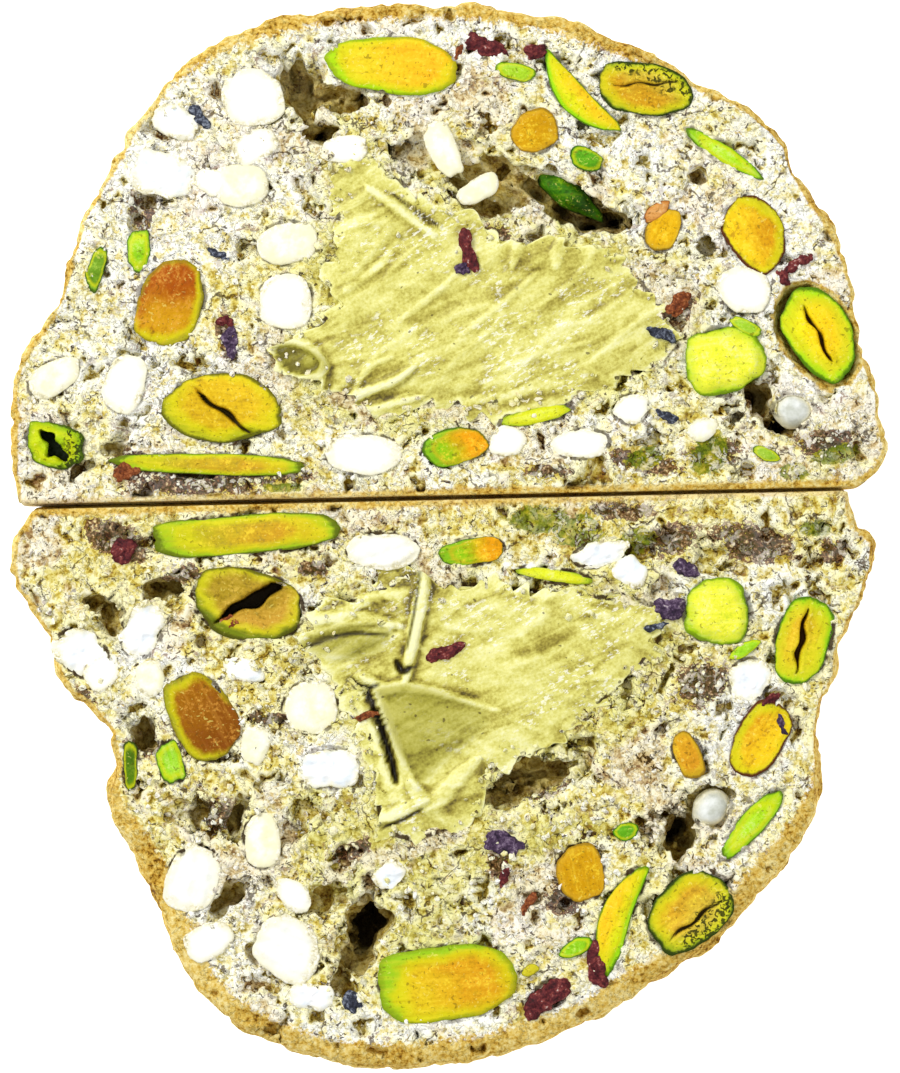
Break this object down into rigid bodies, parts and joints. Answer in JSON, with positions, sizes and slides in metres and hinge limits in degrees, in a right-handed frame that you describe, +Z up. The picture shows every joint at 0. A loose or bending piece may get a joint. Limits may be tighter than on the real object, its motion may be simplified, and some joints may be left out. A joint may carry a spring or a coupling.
{
  "type": "filled pistachio cookie cut in half",
  "caption": "Thick round filled cookie cut in half and laid open, base to base with both cut faces up: pale crumb holding pistachio cream, pistachio kernels and white chocolate.",
  "frame": {"origin": "centre of the outline box of the two halves, on the surface that they rest on", "axes": "+X along the seam between the halves, +Y from the lower half to the upper half, +Z up, out of the cut faces"},
  "size_m": [0.094, 0.1145, 0.046],
  "materials": {
    "baked_dough": "matte",
    "pistachio_cream": "satin",
    "pistachio": "satin",
    "white_chocolate": "satin",
    "nut_skin": "matte"
  },
  "bodies": {
    "root": {"lower_chocolate_01": "white_chocolate", "lower_chocolate_02": "white_chocolate", "lower_chocolate_03": "white_chocolate", "lower_chocolate_04": "white_chocolate", "lower_chocolate_05": "white_chocolate", "lower_chocolate_06": "white_chocolate", "lower_chocolate_07": "white_chocolate", "lower_chocolate_08": "white_chocolate", "lower_chocolate_09": "white_chocolate", "lower_chocolate_10": "white_chocolate", "lower_chocolate_11": "white_chocolate", "lower_cream": "pistachio_cream", "lower_dough": "baked_dough", "lower_pistachio_amber_kernel": "pistachio", "lower_pistachio_crescent": "pistachio", "lower_pistachio_dark_sliver": "pistachio", "lower_pistachio_edge_kernel": "pistachio", "lower_pistachio_green_chip": "pistachio", "lower_pistachio_green_sliver": "pistachio", "lower_pistachio_green_split": "pistachio", "lower_pistachio_half_kernel": "pistachio", "lower_pistachio_long_slab": "pistachio", "lower_pistachio_oval_slab": "pistachio", "lower_pistachio_round_kernel": "pistachio", "lower_pistachio_small_amber": "pistachio", "lower_pistachio_small_disc": "pistachio", "lower_pistachio_split_kernel": "pistachio", "lower_pistachio_thin_crescent": "pistachio", "lower_pistachio_wide_split": "pistachio", "lower_skin_flake_01": "nut_skin", "upper_chocolate_01": "white_chocolate", "upper_chocolate_02": "white_chocolate", "upper_chocolate_03": "white_chocolate", "upper_chocolate_04": "white_chocolate", "upper_chocolate_05": "white_chocolate", "upper_chocolate_06": "white_chocolate", "upper_chocolate_07": "white_chocolate", "upper_chocolate_08": "white_chocolate", "upper_chocolate_09": "white_chocolate", "upper_chocolate_10": "white_chocolate", "upper_chocolate_11": "white_chocolate", "upper_chocolate_12": "white_chocolate", "upper_cream": "pistachio_cream", "upper_dough": "baked_dough", "upper_pistachio_amber_kernel": "pistachio", "upper_pistachio_crescent": "pistachio", "upper_pistachio_curled_kernel": "pistachio", "upper_pistachio_edge_kernel": "pistachio", "upper_pistachio_green_chip": "pistachio", "upper_pistachio_green_sliver": "pistachio", "upper_pistachio_green_split": "pistachio", "upper_pistachio_half_kernel": "pistachio", "upper_pistachio_long_slab": "pistachio", "upper_pistachio_oval_slab": "pistachio", "upper_pistachio_round_kernel": "pistachio", "upper_pistachio_small_amber": "pistachio", "upper_pistachio_small_disc": "pistachio", "upper_pistachio_split_kernel": "pistachio", "upper_pistachio_thin_crescent": "pistachio", "upper_pistachio_wide_split": "pistachio"}
  },
  "joints": []
}
